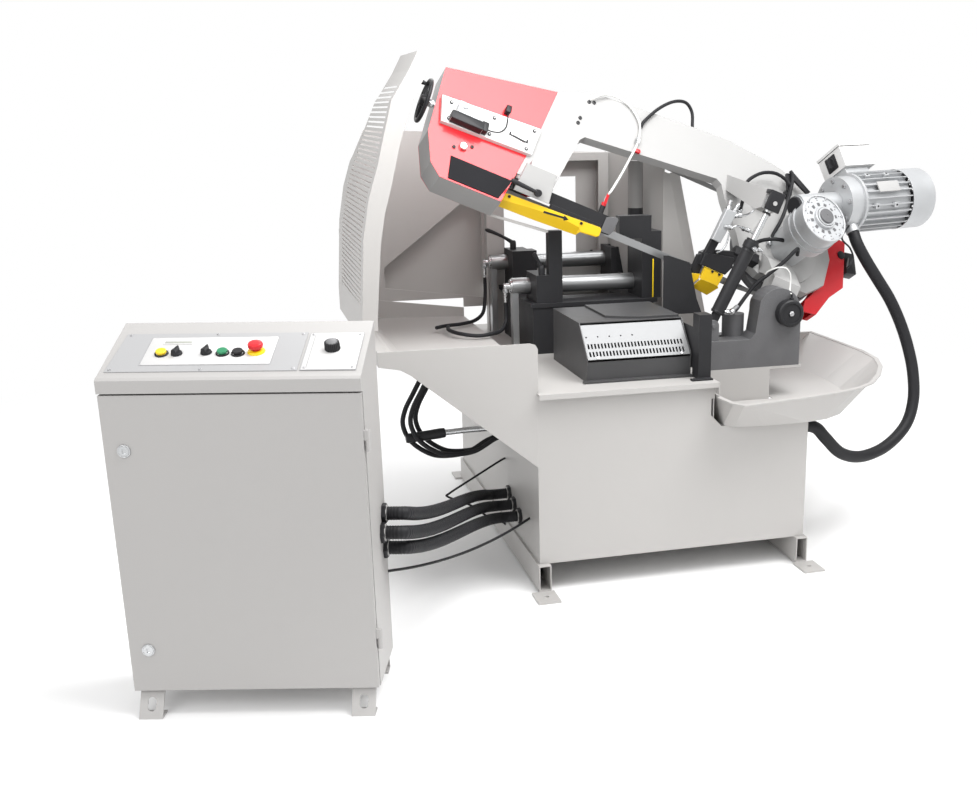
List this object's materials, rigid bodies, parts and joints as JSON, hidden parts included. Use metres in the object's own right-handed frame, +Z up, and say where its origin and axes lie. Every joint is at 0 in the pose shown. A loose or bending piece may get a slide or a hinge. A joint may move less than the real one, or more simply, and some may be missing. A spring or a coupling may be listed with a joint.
{
  "type": "horizontal band saw",
  "caption": "Hydraulic bow band saw on a sheet-metal stand, with a raised leaning bow, vise, chip pan and a separate control cabinet.",
  "frame": {"origin": "on the floor, in the middle of the four anchor holes of the stand's skids", "axes": "+X to the right along the front of the stand, +Y to the rear, the way stock is fed through, +Z up"},
  "size_m": [3.1222, 2.2669, 1.8],
  "materials": {
    "grey_paint": "satin light warm grey",
    "bow_paint": "satin off-white",
    "black_paint": "satin black",
    "hose_rubber": "matt black",
    "bright_steel": "bright",
    "cast_iron": "painted grey casting",
    "motor_silver": "silver-grey",
    "fan_plastic": "matt",
    "red_paint": "gloss red",
    "yellow_paint": "gloss yellow",
    "yellow_plastic": "gloss",
    "green_plastic": "gloss",
    "console_sheet": "satin"
  },
  "bodies": {
    "machine_frame": {"skid_rails": "grey_paint", "stand_shell": "grey_paint", "top_plate": "grey_paint", "wing_tray": "grey_paint", "tall_guard": "grey_paint", "rear_wall": "grey_paint", "side_screen": "grey_paint", "vise_bed": "black_paint", "fixed_jaws": "black_paint", "vise_cylinders": "bright_steel", "chute_box": "black_paint", "chute_face": "motor_silver", "arc_plate": "black_paint", "blade_screen": "black_paint", "chip_pan": "grey_paint", "pan_pedestal": "grey_paint", "pivot_bracket": "cast_iron", "hinge_shaft": "bright_steel", "cabinet": "grey_paint", "console_panel": "console_sheet", "conduits": "hose_rubber"},
    "bow": {"bow_frame": "bow_paint", "idler_box": "red_paint", "wheel_cover": "red_paint", "tension_plate": "bow_paint", "band": "bright_steel", "guide_clamp": "bow_paint", "right_guide": "black_paint", "gearbox": "motor_silver", "motor": "motor_silver", "fan_cover": "motor_silver", "terminal_box": "bow_paint", "drive_guard": "red_paint", "motor_hose": "hose_rubber"},
    "idler_block": {"idler_axle": "bright_steel"},
    "idler_wheel": {"idler_wheel": "cast_iron"},
    "drive_wheel": {"drive_wheel": "cast_iron"},
    "motor_fan": {"motor_fan": "fan_plastic"},
    "tension_handwheel": {"tension_handwheel": "black_paint"},
    "guide_arm": {"guide_bar": "black_paint", "left_blade_guard": "yellow_paint"},
    "guide_lever": {"guide_lever": "black_paint"},
    "motor_switch": {"motor_switch": "black_paint"},
    "coolant_valve": {"coolant_valve": "red_paint"},
    "lift_barrel": {"lift_barrel": "black_paint"},
    "lift_rod": {"lift_rod": "bright_steel"},
    "front_jaw": {"front_jaw": "black_paint"},
    "rear_jaw": {"rear_jaw": "black_paint"},
    "front_vise_lever": {"front_vise_lever": "black_paint"},
    "rear_vise_lever": {"rear_vise_lever": "black_paint"},
    "cabinet_door": {"cabinet_door": "grey_paint"},
    "upper_lock": {"upper_lock": "bright_steel"},
    "lower_lock": {"lower_lock": "bright_steel"},
    "yellow_button": {"yellow_button": "yellow_plastic"},
    "green_button": {"green_button": "green_plastic"},
    "black_button": {"black_button": "black_paint"},
    "left_selector": {"left_selector": "black_paint"},
    "right_selector": {"right_selector": "black_paint"},
    "emergency_stop": {"emergency_stop": "red_paint"},
    "speed_knob": {"speed_knob": "black_paint"}
  },
  "joints": [
    {"name": "bow_pivot", "type": "hinge", "parent": "machine_frame", "child": "bow", "pos_m": [0.562, -0.235, 0.873], "axis": [0, 1, 0], "range_deg": [-22.8, 12.2], "deforming": ["motor_hose"]},
    {"name": "handwheel_turn", "type": "hinge", "parent": "bow", "child": "tension_handwheel", "pos_m": [-0.71812, -0.01641, 1.64176], "axis": [0.9219, 0, -0.3875], "range_deg": [0, 900]},
    {"name": "idler_slide", "type": "slide", "parent": "bow", "child": "idler_block", "axis": [0.9219, 0, -0.3875], "range_m": [0, 0.01]},
    {"name": "idler_spin", "type": "hinge", "parent": "idler_block", "child": "idler_wheel", "pos_m": [-0.42419, 0.01472, 1.49456], "axis": [-0.2223, 0.8192, -0.5288], "continuous": true},
    {"name": "drive_spin", "type": "hinge", "parent": "bow", "child": "drive_wheel", "pos_m": [0.67743, 0.01472, 1.03148], "axis": [-0.2223, 0.8192, -0.5288], "continuous": true},
    {"name": "fan_spin", "type": "hinge", "parent": "bow", "child": "motor_fan", "pos_m": [1.20456, -0.02366, 1.25162], "axis": [0.963, 0.2693, 0.0124], "continuous": true},
    {"name": "guide_slide", "type": "slide", "parent": "bow", "child": "guide_arm", "axis": [0.9219, 0, -0.3875], "range_m": [0, 0.13]},
    {"name": "guide_clamp_turn", "type": "hinge", "parent": "bow", "child": "guide_lever", "pos_m": [-0.3519, -0.1653, 1.32334], "axis": [0, 1, 0], "range_deg": [0, 60]},
    {"name": "switch_turn", "type": "hinge", "parent": "bow", "child": "motor_switch", "pos_m": [0.88951, -0.01759, 1.39346], "axis": [0.963, 0.2693, 0.0124], "range_deg": [0, 90]},
    {"name": "valve_turn", "type": "hinge", "parent": "guide_arm", "child": "coolant_valve", "pos_m": [-0.09439, -0.135, 1.26499], "axis": [0.3875, 0, 0.9219], "range_deg": [0, 90]},
    {"name": "lift_tilt", "type": "hinge", "parent": "machine_frame", "child": "lift_barrel", "pos_m": [0.268, -0.33, 0.836], "axis": [0, 1, 0], "range_deg": [-16, 9]},
    {"name": "lift_stroke", "type": "slide", "parent": "lift_barrel", "child": "lift_rod", "axis": [0.462, 0, 0.8869], "range_m": [-0.102, 0.056]},
    {"name": "front_jaw_slide", "type": "slide", "parent": "machine_frame", "child": "front_jaw", "axis": [1, 0, 0], "range_m": [0, 0.2]},
    {"name": "rear_jaw_slide", "type": "slide", "parent": "machine_frame", "child": "rear_jaw", "axis": [1, 0, 0], "range_m": [0, 0.2]},
    {"name": "front_lever_turn", "type": "hinge", "parent": "front_jaw", "child": "front_vise_lever", "pos_m": [-0.306, -0.03, 1.03], "axis": [0, 0, 1], "range_deg": [0, 60]},
    {"name": "rear_lever_turn", "type": "hinge", "parent": "rear_jaw", "child": "rear_vise_lever", "pos_m": [-0.306, 0.44, 1.08], "axis": [0, 0, 1], "range_deg": [0, 60]},
    {"name": "door_hinge", "type": "hinge", "parent": "machine_frame", "child": "cabinet_door", "pos_m": [-1.13709, -1.41872, 0.48], "axis": [0, 0, 1], "range_deg": [0, 110]},
    {"name": "upper_lock_turn", "type": "hinge", "parent": "cabinet_door", "child": "upper_lock", "pos_m": [-1.75161, -1.25475, 0.767], "axis": [0.2639, 0.9646, 0], "range_deg": [0, 90]},
    {"name": "lower_lock_turn", "type": "hinge", "parent": "cabinet_door", "child": "lower_lock", "pos_m": [-1.75161, -1.25475, 0.199], "axis": [0.2639, 0.9646, 0], "range_deg": [0, 90]},
    {"name": "yellow_button_press", "type": "slide", "parent": "machine_frame", "child": "yellow_button", "axis": [0.0904, 0.3305, -0.9395], "range_m": [0, 0.005], "stiffness_N_per_m": 400, "springref_m": -0.002},
    {"name": "green_button_press", "type": "slide", "parent": "machine_frame", "child": "green_button", "axis": [0.0904, 0.3305, -0.9395], "range_m": [0, 0.005], "stiffness_N_per_m": 400, "springref_m": -0.002},
    {"name": "black_button_press", "type": "slide", "parent": "machine_frame", "child": "black_button", "axis": [0.0904, 0.3305, -0.9395], "range_m": [0, 0.005], "stiffness_N_per_m": 400, "springref_m": -0.002},
    {"name": "emergency_stop_press", "type": "slide", "parent": "machine_frame", "child": "emergency_stop", "axis": [0.0904, 0.3305, -0.9395], "range_m": [0, 0.006], "stiffness_N_per_m": 500, "springref_m": -0.003},
    {"name": "left_selector_turn", "type": "hinge", "parent": "machine_frame", "child": "left_selector", "pos_m": [-1.59966, -1.18441, 0.99826], "axis": [-0.0904, -0.3305, 0.9395], "range_deg": [-45, 45]},
    {"name": "right_selector_turn", "type": "hinge", "parent": "machine_frame", "child": "right_selector", "pos_m": [-1.5244, -1.2011, 0.99963], "axis": [-0.0904, -0.3305, 0.9395], "range_deg": [-45, 45]},
    {"name": "speed_knob_turn", "type": "hinge", "parent": "machine_frame", "child": "speed_knob", "pos_m": [-1.20094, -1.27693, 1.00409], "axis": [-0.0904, -0.3305, 0.9395], "range_deg": [-135, 135]}
  ],
  "couplings": [
    {"joint": "idler_slide", "follows": "handwheel_turn", "m_per_rad": 0.00063662},
    {"joint": "idler_spin", "follows": "drive_spin", "ratio": 1},
    {"joint": "fan_spin", "follows": "drive_spin", "ratio": 30},
    {"joint": "lift_tilt", "follows": "bow_pivot", "ratio": 0.69},
    {"joint": "lift_stroke", "follows": "bow_pivot", "m_per_rad": 0.252}
  ]
}
